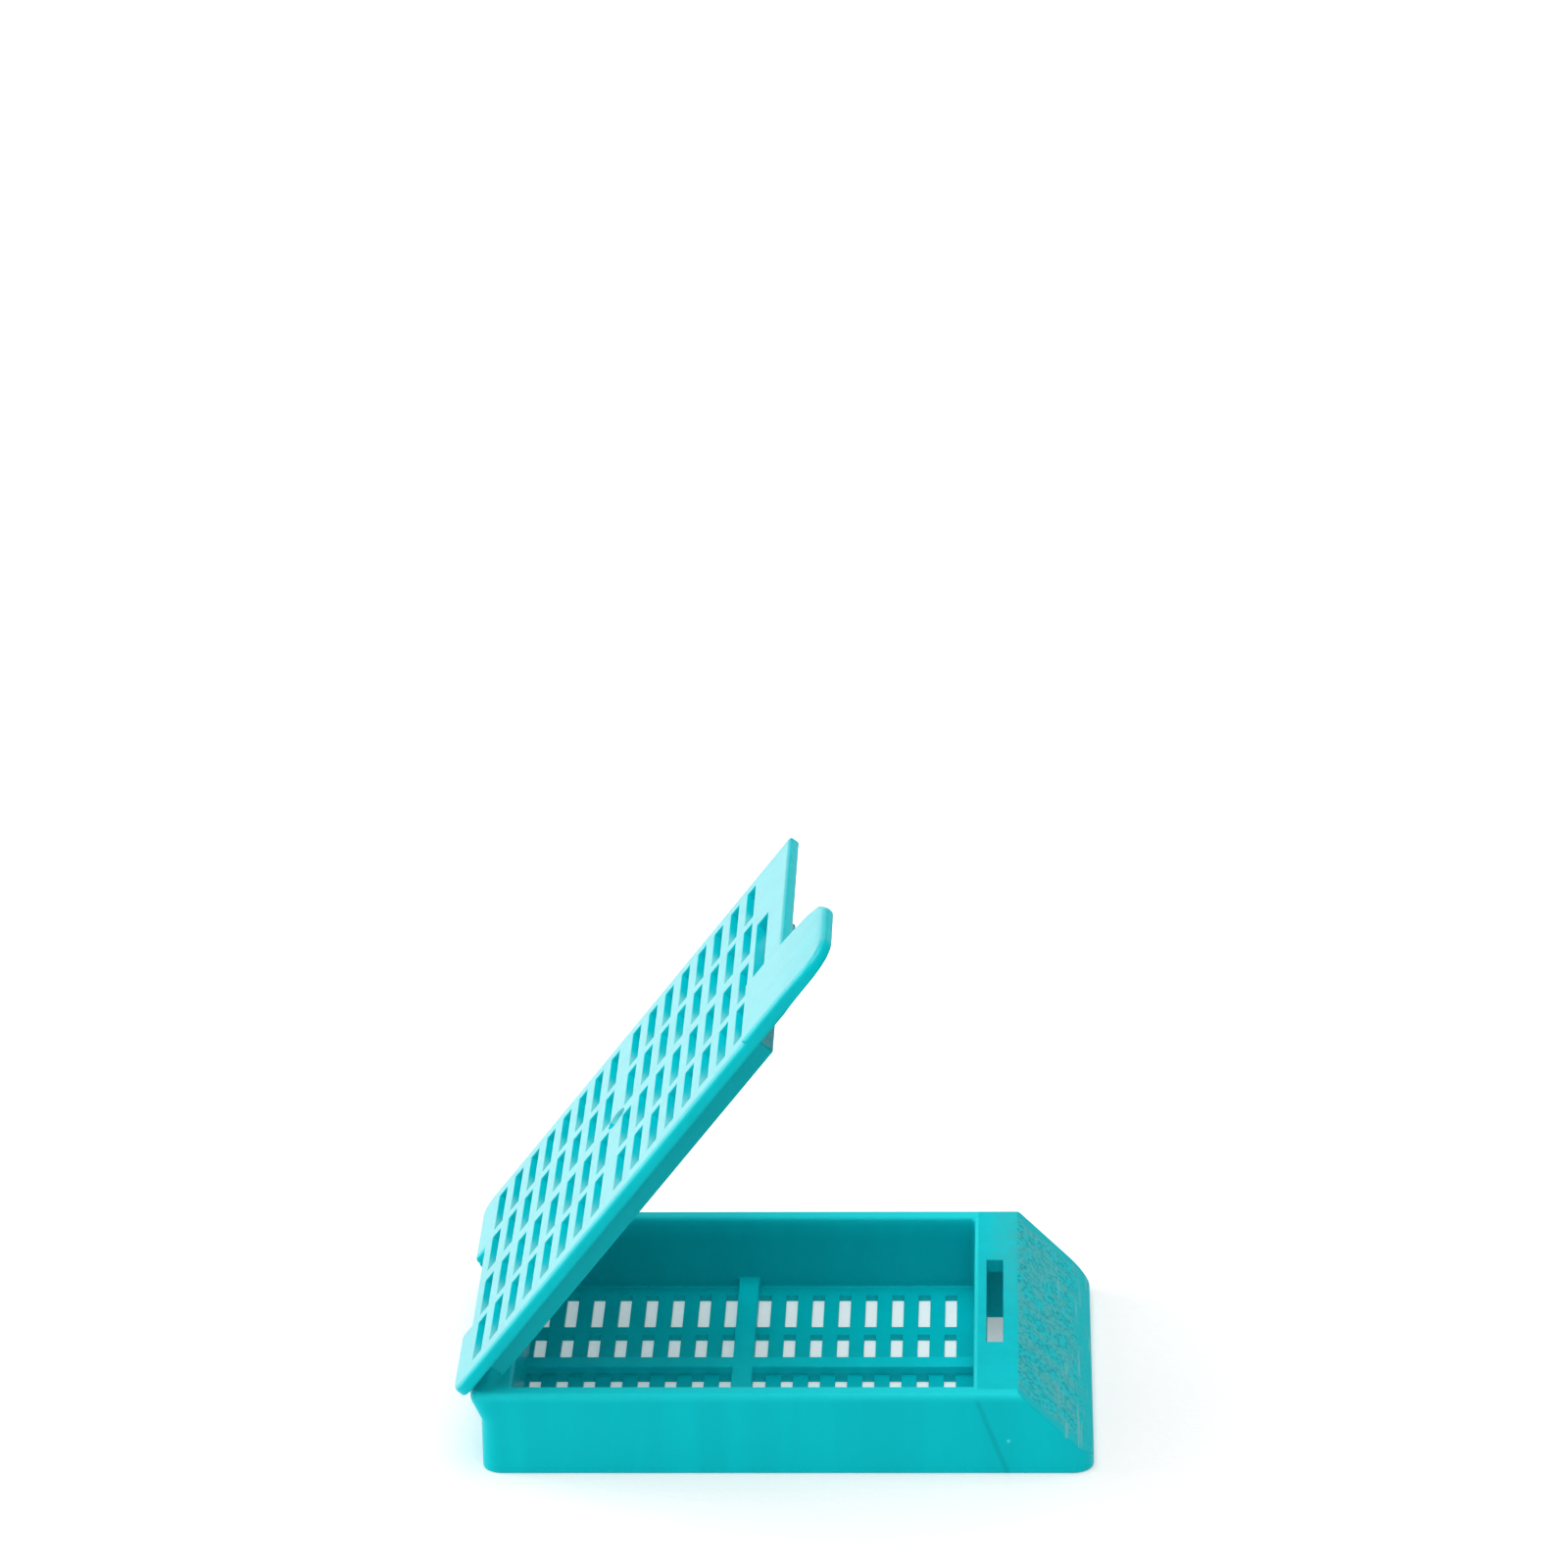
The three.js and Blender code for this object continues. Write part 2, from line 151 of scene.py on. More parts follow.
def moulding(name, xs, ys, zs, solid, place, rounding, finish_of):
    """A closed mesh of the solid cells of a grid, with rounded edges.

    solid(x, y, z) tells whether the cell round that point is plastic, place(x, y, z) is
    where a grid corner really lies, rounding(x, y, z) is an edge's radius, and
    finish_of(x, y, z, normal) is the number of a face's material."""
    full = {(i, j, k)
            for i, x in enumerate(cell_middles(xs))
            for j, y in enumerate(cell_middles(ys))
            for k, z in enumerate(cell_middles(zs)) if solid(x, y, z)}
    bm = bmesh.new()
    grid_place = bm.verts.layers.float_vector.new("grid place")
    corners = {}

    def corner(i, j, k):
        if (i, j, k) not in corners:
            vert = bm.verts.new(Vector(place(xs[i], ys[j], zs[k])) * MM)
            vert[grid_place] = (xs[i], ys[j], zs[k])
            corners[i, j, k] = vert
        return corners[i, j, k]

    sides = (
        ((1, 0, 0), ((1, 0, 0), (1, 1, 0), (1, 1, 1), (1, 0, 1))),
        ((-1, 0, 0), ((0, 0, 0), (0, 0, 1), (0, 1, 1), (0, 1, 0))),
        ((0, 1, 0), ((0, 1, 0), (0, 1, 1), (1, 1, 1), (1, 1, 0))),
        ((0, -1, 0), ((0, 0, 0), (1, 0, 0), (1, 0, 1), (0, 0, 1))),
        ((0, 0, 1), ((0, 0, 1), (1, 0, 1), (1, 1, 1), (0, 1, 1))),
        ((0, 0, -1), ((0, 0, 0), (0, 1, 0), (1, 1, 0), (1, 0, 0))),
    )
    for i, j, k in sorted(full):
        for (di, dj, dk), quad in sides:
            if (i + di, j + dj, k + dk) not in full:
                bm.faces.new([corner(i + a, j + b, k + c) for a, b, c in quad])
    bm.normal_update()
    for face in bm.faces:
        middle = sum((v[grid_place] for v in face.verts), Vector()) / 4
        face.material_index = finish_of(*middle, face.normal)
        face.smooth = True
    bmesh.ops.dissolve_limit(bm, angle_limit=FLAT_TURN, verts=bm.verts, edges=bm.edges,
                             delimit={"MATERIAL"})
    bm.normal_update()
    radii = []
    for edge in bm.edges:
        a, b = edge.link_faces
        radius = 0.0
        if a.normal.angle(b.normal, 0.0) > SHARP_TURN:
            middle = (edge.verts[0][grid_place] + edge.verts[1][grid_place]) / 2
            radius = rounding(*middle)
        radii.append(radius)
    mesh = bpy.data.meshes.new(name)
    bm.to_mesh(mesh)
    bm.free()
    mesh.attributes.remove(mesh.attributes["grid place"])
    widest = max(radii)
    weights = mesh.attributes.new("bevel_weight_edge", "FLOAT", "EDGE")
    for weight, radius in zip(weights.data, radii):
        weight.value = radius / widest
    piece = bpy.data.objects.new(name, mesh)
    bpy.context.collection.objects.link(piece)
    bevel = piece.modifiers.new("rounded edges", "BEVEL")
    bevel.limit_method = "WEIGHT"
    bevel.width = widest * MM
    bevel.segments = ROUND_STEPS
    bevel.use_clamp_overlap = False
    bevel.harden_normals = True
    return piece


def corner_inset(x, end_x, radius):
    """How far a rounded plan corner has drawn in at x, towards the end at end_x."""
    reach = radius - abs(x - end_x)
    return radius - math.sqrt(radius * radius - reach * reach) if reach > 0 else 0.0


def corner_lines(end_x, radius, inward):
    return [end_x + inward * radius * (1 - math.sin(math.radians(a)))
            for a in range(0, 91, 15)]


tray_rows = row_starts(*HOLES_X, HOLE, CROSS_RIB_GAP)
CROSS_RIB = (tray_rows[ROWS_PER_FIELD - 1] + HOLE + RIB_TO_HOLE,
             tray_rows[ROWS_PER_FIELD] - RIB_TO_HOLE)
tray_holes = [(x, x + HOLE) for x in tray_rows]
# The holes on each side of the cross rib reach to its foot.
tray_holes[ROWS_PER_FIELD - 1] = (tray_holes[ROWS_PER_FIELD - 1][0], CROSS_RIB[0])
tray_holes[ROWS_PER_FIELD] = (CROSS_RIB[1], tray_holes[ROWS_PER_FIELD][1])
tray_x = grid_lines(RIM_X, corner_lines(RIM_X, REAR_CORNER, 1), RECESS_X, CAVITY_REAR,
                    *tray_holes, CROSS_RIB, CAVITY_FRONT, SLOT_X, ROOF_BEND_X, SLOPE_X,
                    POCKET_FRONT, corner_lines(LIP_X, FRONT_CORNER, -1), LIP_X)
half_lines = [HALF_RIB, HALF_SLOT, HALF_RECESS, HALF_POCKET, HALF_CAVITY, HALF_TRAY]
tray_y = grid_lines(half_lines, [-y for y in half_lines], *TRAY_COLUMNS)
tray_z = (0.0, FLOOR_Z, RIB_Z, RIM_TAPER_Z, RIM_BAND_Z, RIM_Z)


def tray_is_solid(x, y, z):
    if x < RECESS_X and abs(y) < HALF_RECESS:
        return False
    if CAVITY_REAR < x < CAVITY_FRONT and abs(y) < HALF_CAVITY:
        if abs(y) < HALF_RIB or within(x, [CROSS_RIB]):
            return z < RIB_Z
        return z < FLOOR_Z and not (within(x, tray_holes) and within(y, TRAY_COLUMNS))
    if within(x, [SLOT_X]) and abs(y) < HALF_SLOT:
        return False
    return not (SLOT_X[0] < x < POCKET_FRONT and abs(y) < HALF_POCKET and z < ROOF_Z)


def rim_step(z):
    """How far the rear wall stands in from the rim's edge at height z."""
    if z > RIM_BAND_Z:
        return RIM_LEAN * (RIM_Z - z) / (RIM_Z - RIM_BAND_Z)
    taper = (RIM_BAND_Z - z) / (RIM_BAND_Z - RIM_TAPER_Z)
    return min(RIM_OVERHANG, RIM_LEAN + (RIM_OVERHANG - RIM_LEAN) * taper)


def place_in_tray(x, y, z):
    inset = corner_inset(x, RIM_X, REAR_CORNER) + corner_inset(x, LIP_X, FRONT_CORNER)
    if abs(y) > CORNER_FROM_Y:
        share = (abs(y) - CORNER_FROM_Y) / (HALF_TRAY - CORNER_FROM_Y)
        y -= math.copysign(inset * share, y)
    # the front end falls at 45 degrees, and the hollow under it follows
    top = RIM_Z - max(0.0, x - SLOPE_X)
    top -= RIM_DROP[1] * max(0.0, 1 - (x - RIM_X) / RIM_DROP[0])
    roof = max(ROOF_Z - max(0.0, x - ROOF_BEND_X), THINNEST * top)
    # the rear wall steps in below its rim, and keeps straight in the recess
    if abs(y) < HALF_RECESS + CLOSE:
        hold = (RECESS_X - x) / (RECESS_X - RIM_X)
    else:
        hold = (CAVITY_REAR - x) / (CAVITY_REAR - RIM_X - REAR_CORNER)
    x += rim_step(z) * max(0.0, min(1.0, hold))
    return x, y, top if z > ROOF_Z + CLOSE else z * roof / ROOF_Z


def tray_rounding(x, y, z):
    in_cavity = (CAVITY_REAR - CLOSE < x < CAVITY_FRONT + CLOSE
                 and abs(y) < HALF_CAVITY + CLOSE)
    at_wall = (near(abs(y), HALF_CAVITY) or near(x, CAVITY_REAR) or near(x, CAVITY_FRONT))
    if in_cavity:
        if z > RIM_Z - CLOSE:
            return SOFT["near mouth"] if near(y, -HALF_CAVITY) else SOFT["mouth"]
        if at_wall and z > FLOOR_Z - CLOSE:
            upright = (near(abs(y), HALF_CAVITY)
                       and (near(x, CAVITY_REAR) or near(x, CAVITY_FRONT)))
            return SOFT["corner"] if upright else SOFT["wall"]
        if near(z, RIB_Z):
            return SOFT["rib"]
        return SOFT["hole"]
    if z > RIM_Z - CLOSE:
        if SLOT_X[0] - CLOSE < x < SLOT_X[1] + CLOSE and abs(y) < HALF_SLOT + CLOSE:
            return SOFT["slot"]
        if near(x, SLOPE_X) and abs(y) < HALF_TRAY - CLOSE:
            return SOFT["slope"]
        if x > SLOPE_X:
            return SOFT["lip"]
        return SOFT["near rim"] if y < -HALF_CAVITY else SOFT["rim"]
    if z < CLOSE:
        return SOFT["foot"]
    return SOFT["slot"]


def tray_finish(x, y, z, normal):
    return 1 if normal.x > 0.6 and normal.z > 0.6 else 0


PLASTIC = (0.0, 0.72, 0.79)
FLOW_TINT = (0.0, 0.68, 0.75)
FLOW_SIZE = (2.2, 2.2, 30.0)                   # streaks left by the melt, run up the walls
GRAIN_SIZE = 0.25
BLOOM = (0.035, 0.60, 0.64)
FROST = (0.085, 0.62, 0.65)
RUBBED = (0.17, 0.64, 0.66)
# deep tone: painted shade inside the cavity, under the lid's plate and along the crease; also
# the colour of the frosting's dark specks and deeper bare margin
SHADE_AND_SPECK_TONE = (0.0, 0.46, 0.51)
# colour of the painted highlight on the near rim and the cavity's front edge
PAINTED_HIGHLIGHT = (0.02, 0.92, 0.97)
WALL_SHADE_SHARE = 0.55                               # share of painted shade on the long walls inside
FLOOR_SHADE_SHARE = 0.5                               # and on the floor
FLOOR_SHADE_Z = (0.8, 0.6)                      # the floor's painted shade comes in between these
INSIDE_SHADE_Z = (RIM_Z - 0.2, 4.0)             # and either painted shade between these, from the rim
# where the painted highlight lies, and its share
NEAR_RIM_HIGHLIGHT_Y = (-HALF_CAVITY - 0.2, -HALF_CAVITY - 0.6)
FRONT_EDGE_HIGHLIGHT_X = (CAVITY_FRONT + 0.35, CAVITY_FRONT + 0.2)
EDGE_HIGHLIGHT_Z = (RIM_Z - 0.7, RIM_Z - 0.1)
EDGE_HIGHLIGHT_SHARE = 0.6
BLOOM_X = (12.9, 15.2)
BLOOM_Y = (-6.0, 9.0)
BLOOM_Z = (5.5, 5.75)
LINE_FOOT = 14.85                              # witness line's X at the foot
LINE_SLANT = 0.376
LINE_WIDTH = 0.3
LINE_TOP_Z = (5.6, 5.0)
# share of painted shade along the crease
CREASE_SHADE_SHARE = 0.5
NICK = (14.9, -HALF_TRAY, 2.4)
NICK_RADIUS = (0.08, 0.17)
NICK_PALE = (0.08, 0.95, 1.0)
FROST_SIDE_Y = (12.4, 13.3)                    # the blasting stops between these
FROST_LIP_X = (18.9, 20.0)
RUB_SIZE = (0.28, 6.0, 0.28)
RUB_X = (17.6, 18.7)
SHEEN_ROUGHNESS = 0.4


class Recipe:
    """The nodes of one material, linked as they are added."""

    def __init__(self, name):
        self.material = bpy.data.materials.new(name)
        self.material.use_nodes = True
        self.tree = self.material.node_tree
        self.shader = self.tree.nodes["Principled BSDF"]
        self.place = self.tree.nodes.new("ShaderNodeTexCoord").outputs["Object"]

    def link(self, value, socket):
        if isinstance(value, bpy.types.NodeSocket):
            self.tree.links.new(value, socket)
        else:
            socket.default_value = value

    def noise(self, size, detail=2.0, distortion=0.0):
        """Noise with patches of this size, one number or one for each direction."""
        sizes = size if isinstance(size, tuple) else (size, size, size)
        stretch = self.tree.nodes.new("ShaderNodeVectorMath")
        stretch.operation = "MULTIPLY"
        self.link(self.place, stretch.inputs[0])
        stretch.inputs[1].default_value = [1 / (s * MM) for s in sizes]
        node = self.tree.nodes.new("ShaderNodeTexNoise")
        self.link(stretch.outputs["Vector"], node.inputs["Vector"])
        node.inputs["Scale"].default_value = 1.0
        node.inputs["Detail"].default_value = detail
        node.inputs["Distortion"].default_value = distortion
        return node.outputs["Fac"]

    def ramp(self, value, start, end, low=0.0, high=1.0):
        """A smooth step from low to high as the value goes from start to end."""
        node = self.tree.nodes.new("ShaderNodeMapRange")
        node.interpolation_type = "SMOOTHSTEP"
        self.link(value, node.inputs["Value"])
        for socket, number in zip(("From Min", "From Max", "To Min", "To Max"),
                                  (start, end, low, high)):
            node.inputs[socket].default_value = number
        return node.outputs["Result"]

    def math(self, operation, a, b):
        node = self.tree.nodes.new("ShaderNodeMath")
        node.operation = operation
        self.link(a, node.inputs[0])
        self.link(b, node.inputs[1])
        return node.outputs["Value"]

    def blend(self, amount, a, b):
        """Colour a, with this amount of colour b over it."""
        node = self.tree.nodes.new("ShaderNodeMix")
        node.data_type = "RGBA"
        self.link(amount, node.inputs["Factor"])
        for colour, socket in ((a, node.inputs[6]), (b, node.inputs[7])):
            self.link((*colour, 1) if isinstance(colour, tuple) else colour, socket)
        return node.outputs[2]

    def axis(self, letter):
        """Distance along one axis, in millimetres."""
        parts = self.tree.nodes.new("ShaderNodeSeparateXYZ")
        self.link(self.place, parts.inputs[0])
        return self.math("DIVIDE", parts.outputs[letter], MM)

    def bump(self, height, depth, under=None):
        """Relief of this depth in millimetres, on top of another relief."""
        node = self.tree.nodes.new("ShaderNodeBump")
        node.inputs["Distance"].default_value = depth * MM
        self.link(height, node.inputs["Height"])
        if under is not None:
            self.link(under, node.inputs["Normal"])
        return node.outputs["Normal"]

    def finish(self, colour, roughness, relief, specular=0.1, sheen=0.0):
        self.link(colour, self.shader.inputs["Base Color"])
        self.link(roughness, self.shader.inputs["Roughness"])
        self.link(relief, self.shader.inputs["Normal"])
        self.shader.inputs["Specular IOR Level"].default_value = specular
        self.shader.inputs["Sheen Weight"].default_value = sheen
        self.shader.inputs["Sheen Roughness"].default_value = SHEEN_ROUGHNESS
        return self.material


def satin(recipe):
    """The plastic as it leaves the mould: faint flow streaks and a very fine grain."""
    flow = recipe.ramp(recipe.noise(FLOW_SIZE), 0.35, 0.65)
    grain = recipe.noise(GRAIN_SIZE, 1.0)
    colour = recipe.blend(flow, PLASTIC, FLOW_TINT)
    return colour, recipe.ramp(grain, 0.3, 0.7, 0.30, 0.40), recipe.bump(grain, 0.012)


def tray_acetal():
    """Satin plastic, with painted shade down inside the cavity and a painted highlight on the
    near rim and the front edge of the cavity. The far end of the front flat has a matt bloom.
    A witness line slants down the near wall where the front end starts, drawn as painted
    shade along a slight crease over a shallow groove, with a pale nick beside it."""
    recipe = Recipe("tray acetal")
    colour, roughness, relief = satin(recipe)
    x, y, z = (recipe.axis(letter) for letter in "XYZ")
    across_tray = recipe.math("ABSOLUTE", y, 0.0)
    # painted shade down inside the cavity, on the long walls and the floor
    long_wall = recipe.ramp(across_tray, HALF_CAVITY - 0.1, HALF_CAVITY, 0.0, WALL_SHADE_SHARE)
    cavity_shade = recipe.math("MAXIMUM", long_wall, recipe.ramp(z, *FLOOR_SHADE_Z, 0.0, FLOOR_SHADE_SHARE))
    for value, start, end in ((across_tray, HALF_CAVITY + 0.1, HALF_CAVITY),
                              (x, CAVITY_FRONT + 0.1, CAVITY_FRONT), (z, *INSIDE_SHADE_Z)):
        cavity_shade = recipe.math("MULTIPLY", cavity_shade, recipe.ramp(value, start, end))
    colour = recipe.blend(cavity_shade, colour, SHADE_AND_SPECK_TONE)
    # painted highlight on the near rim and the front edge of the cavity
    edge = recipe.math("MAXIMUM", recipe.ramp(y, *NEAR_RIM_HIGHLIGHT_Y),
                       recipe.ramp(x, *FRONT_EDGE_HIGHLIGHT_X))
    edge = recipe.math("MULTIPLY", edge, recipe.ramp(z, *EDGE_HIGHLIGHT_Z, 0.0, EDGE_HIGHLIGHT_SHARE))
    colour = recipe.blend(edge, colour, PAINTED_HIGHLIGHT)
    bloom = recipe.ramp(recipe.noise(0.6, 3.0, 0.6), 0.3, 0.65, 0.3, 1.0)
    for value, start, end in ((x, *BLOOM_X), (y, *BLOOM_Y), (z, *BLOOM_Z)):
        bloom = recipe.math("MULTIPLY", bloom, recipe.ramp(value, start, end))
    colour = recipe.blend(bloom, colour, BLOOM)
    # the witness line: painted shade along a slight crease, over a shallow groove in relief
    slant = recipe.math("ADD", x, recipe.math("MULTIPLY", z, LINE_SLANT))
    offset = recipe.math("ABSOLUTE", recipe.math("SUBTRACT", slant, LINE_FOOT), 0.0)
    line = recipe.ramp(offset, 0.0, LINE_WIDTH, 1.0, 0.0)
    line = recipe.math("MULTIPLY", line, recipe.ramp(y, -HALF_TRAY + 0.05, -HALF_TRAY))
    line = recipe.math("MULTIPLY", line, recipe.ramp(z, *LINE_TOP_Z))
    colour = recipe.blend(recipe.math("MULTIPLY", line, CREASE_SHADE_SHARE), colour, SHADE_AND_SPECK_TONE)
    away = recipe.tree.nodes.new("ShaderNodeVectorMath")
    away.operation = "DISTANCE"
    recipe.link(recipe.place, away.inputs[0])
    away.inputs[1].default_value = Vector(NICK) * MM
    nick = recipe.ramp(away.outputs["Value"], *(r * MM for r in NICK_RADIUS), 1.0, 0.0)
    colour = recipe.blend(nick, colour, NICK_PALE)
    return recipe.finish(colour, roughness, recipe.bump(line, -0.02, relief), 0.06)


def frosted_acetal():
    """The writing face: blasted to take a pencil, with dark specks and pale rub marks. The
    blasting stops short of the side walls and of the lip."""
    recipe = Recipe("frosted writing face")
    x, y = recipe.axis("X"), recipe.axis("Y")
    across_face = recipe.math("ABSOLUTE", y, 0.0)
    wander = recipe.ramp(recipe.noise(1.2), 0.0, 1.0, -0.5, 0.5)
    side = recipe.ramp(recipe.math("ADD", across_face, wander), *FROST_SIDE_Y, 1.0, 0.0)
    lip = recipe.ramp(recipe.math("ADD", x, wander), *FROST_LIP_X, 1.0, 0.15)
    blasted = recipe.math("MULTIPLY", side, lip)
    specks = recipe.ramp(recipe.noise(0.3, 3.0, 0.4), 0.47, 0.60)
    clusters = recipe.ramp(recipe.noise(1.5, 4.0, 0.2), 0.40, 0.62, 0.1, 1.0)
    colour = recipe.blend(clusters, FROST, PLASTIC)
    dark = recipe.math("MULTIPLY", specks, recipe.ramp(clusters, 0.0, 0.8, 0.6, 1.0))
    colour = recipe.blend(dark, colour, SHADE_AND_SPECK_TONE)
    bare = recipe.blend(0.3, PLASTIC, SHADE_AND_SPECK_TONE)
    colour = recipe.blend(blasted, bare, colour)
    rubs = recipe.ramp(recipe.noise(RUB_SIZE), 0.56, 0.68)
    rubs = recipe.math("MULTIPLY", rubs, recipe.ramp(x, *RUB_X, 0.0, 0.8))
    colour = recipe.blend(rubs, colour, RUBBED)
    relief = recipe.bump(recipe.math("MULTIPLY", specks, blasted), 0.015)
    return recipe.finish(colour, 0.65, relief, 0.12)


tray = moulding("tray", tray_x, tray_y, tray_z, tray_is_solid, place_in_tray,
                tray_rounding, tray_finish)
tray.data.materials.append(tray_acetal())
tray.data.materials.append(frosted_acetal())
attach(tray, "base")
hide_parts("base")


# ---------------------------------------------------------------------------------------
# Hinge hook. Moulded in one with the tray: a strip across the middle of the rear wall
# that passes over the lid's pin and curls down behind it, open below so the pin snaps in.
# ---------------------------------------------------------------------------------------
HALF_HOOK = 5.2
HOOK_INNER = 0.75                              # round the pin
HOOK_OUTER = 1.45
HOOK_CROWN = 1.9
HOOK_FRONT = 1.13
HOOK_DEPTH = 0.6                               # how far its root reaches below the rim
HOOK_CROWN_DEG = (54, 112)
HOOK_CURL_DEG = (150, 280)
HOOK_EDGE = 0.1


def arc(radius, start, end, steps):
    """Points (x, z) of an arc round the pin, angles in degrees."""
    turns = [math.radians(start + (end - start) * i / steps) for i in range(steps + 1)]
    return [(PIN_X + radius * math.cos(a), PIN_Z + radius * math.sin(a)) for a in turns]


def across(name, outline, y_low, y_high, edge):
    """A strip with this side outline of (x, z) points, from y_low to y_high."""
    bm = bmesh.new()
    rows = [[bm.verts.new((x * MM, y * MM, z * MM)) for x, z in outline]
            for y in (y_low, y_high)]
    count = len(outline)
    for i in range(count):
        n = (i + 1) % count
        bm.faces.new((rows[0][i], rows[0][n], rows[1][n], rows[1][i]))
    bm.faces.new(rows[0][::-1])
    bm.faces.new(rows[1])
    bmesh.ops.recalc_face_normals(bm, faces=bm.faces)
    for face in bm.faces:
        face.smooth = True
    mesh = bpy.data.meshes.new(name)
    bm.to_mesh(mesh)
    bm.free()
    piece = bpy.data.objects.new(name, mesh)
    bpy.context.collection.objects.link(piece)
    bevel = piece.modifiers.new("rounded edges", "BEVEL")
    bevel.limit_method = "ANGLE"
    bevel.angle_limit = SHARP_TURN
    bevel.width = edge * MM
    bevel.segments = ROUND_STEPS
    bevel.harden_normals = True
    return piece


hook_outline = [(PIN_X + HOOK_FRONT, RIM_Z - HOOK_DEPTH), (PIN_X + HOOK_FRONT, RIM_Z)]
hook_outline += arc(HOOK_CROWN, *HOOK_CROWN_DEG, 12)
hook_outline += arc(HOOK_OUTER, *HOOK_CURL_DEG, 20)
hook_outline += arc(HOOK_INNER, HOOK_CURL_DEG[1], 0, 40)
hook = across("hinge_hook", hook_outline, -HALF_HOOK, HALF_HOOK, HOOK_EDGE)
hook.data.materials.append(tray.data.materials[0])
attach(hook, "base")


# ---------------------------------------------------------------------------------------
# Lid. The second moulding: a thin plate with rows of slots, a skirt under it that drops
# into the tray, a latch tongue, and a thumb tab that bends down over the writing face. It
# is laid out shut, round its pin, and then turned open.
# ---------------------------------------------------------------------------------------
OPEN = -math.radians(hinge["range_deg"][0])
LID_Z = 1.69                                   # plate's underside above the pin
LID_REAR = 0.1
PLATE = 0.9
HALF_LID = HALF_TRAY + 0.2
LID_FRONT = SLOPE_X + 0.3 - PIN_X
LID_CORNER = 1.3
NOTCH_X = 1.28                                 # front of the notch round the hook
HALF_NOTCH = 5.95
SKIRT = 1.4
SKIRT_REAR = CAVITY_REAR + 0.65 - PIN_X
SKIRT_FRONT = CAVITY_FRONT - 0.12 - PIN_X
SKIRT_SIDE = (HALF_CAVITY - 1.0, HALF_CAVITY - 0.3)
FRONT_SKIRT = (SKIRT_FRONT - 0.33, SKIRT_FRONT)
LID_COLUMNS = ((-12.65, -7.1), (-6.0, -0.75), (0.75, 6.0), (7.1, 12.65))
LID_SLOT = 0.92
LID_MIDDLE_BAR = 1.56
NOTCH_TO_SLOT = 1.03
SLOT_PITCH = 6.6                               # from one column to the next, about
SLOT_LIGHT_FADE = (0.9, 3.0)                         # the painted light fades out between these
# painted light at the near end of each slot, and its share
SLOT_PAINTED_LIGHT = (0.34, 0.85, 0.86)
SLOT_LIGHT_SHARE = 0.75
SLOT_END_Y = (12.8, 12.7)
SKIRT_SHADE_SHARE = 0.7                               # share of painted shade on the skirt under the plate
TONGUE = (SLOT_X[1] - 0.55 - PIN_X, SLOT_X[1] - 0.15 - PIN_X)
BARB_X = TONGUE[0] - 0.25
HALF_TONGUE = 4.4
TONGUE_Z = -1.15
BARB_Z = -0.8
WINDOW_REAR = TONGUE[0] - 1.2
PAD_RISE = 0.12                                # thumb pad above the plate
PAD_X = FRONT_SKIRT[0] + 0.1
TAB_INNER = -HALF_LID + 9.4
TAB_BEND_X = LID_FRONT - 0.3
TAB_BEND_LINES = (0.8, 1.4)                    # extra grid lines past the bend
TAB_REACH = 5.0
TAB_BEND = math.radians(5)
TAB_CORNER = 2.3
TAB_ROOT = 1.0                                 # thickness past the plate's edge
TAB_TIP = 0.8                                  # thickness at the tip
TAB_MIDDLE = (TAB_INNER - HALF_LID) / 2
HALF_TAB = (TAB_INNER + HALF_LID) / 2
LID_SOFT = {"slot": 0.05, "plate": 0.24, "pad": 0.04, "skirt": 0.12, "outline": 0.4,
            "under": 0.02}

lid_rows = row_starts(NOTCH_X + NOTCH_TO_SLOT, FRONT_SKIRT[0], LID_SLOT, LID_MIDDLE_BAR)
lid_slots = [(x, x + LID_SLOT) for x in lid_rows]
lid_x = grid_lines(corner_lines(LID_REAR, LID_CORNER, 1), NOTCH_X, SKIRT_REAR, *lid_slots,
                   FRONT_SKIRT, PAD_X, WINDOW_REAR, BARB_X, TONGUE, TAB_BEND_X, LID_FRONT,
                   [TAB_BEND_X + s for s in TAB_BEND_LINES],
                   corner_lines(TAB_BEND_X + TAB_REACH, TAB_CORNER, -1))
half_lines = [HALF_TONGUE, HALF_NOTCH, *SKIRT_SIDE, HALF_LID]
lid_y = grid_lines(half_lines, [-y for y in half_lines], *LID_COLUMNS, TAB_INNER)
lid_z = (-SKIRT, TONGUE_Z, BARB_Z, 0.0, PLATE, PLATE + PAD_RISE)


def lid_is_solid(x, y, z):
    if z > PLATE:
        return x > PAD_X and y < TAB_INNER
    if z > 0:
        if x > LID_FRONT:
            return y < TAB_INNER
        if x < NOTCH_X and abs(y) < HALF_NOTCH:
            return False
        if WINDOW_REAR < x < TONGUE[0] and abs(y) < HALF_TONGUE:
            return False
        return not (within(x, lid_slots) and within(y, LID_COLUMNS))
    if abs(y) < HALF_TONGUE and z > TONGUE_Z:
        if TONGUE[0] < x < TONGUE[1]:
            return True
        if BARB_X < x < TONGUE[0]:
            return z < BARB_Z
    if within(x, [FRONT_SKIRT]) and abs(y) < SKIRT_SIDE[1]:
        return True
    return SKIRT_REAR < x < SKIRT_FRONT and SKIRT_SIDE[0] < abs(y) < SKIRT_SIDE[1]


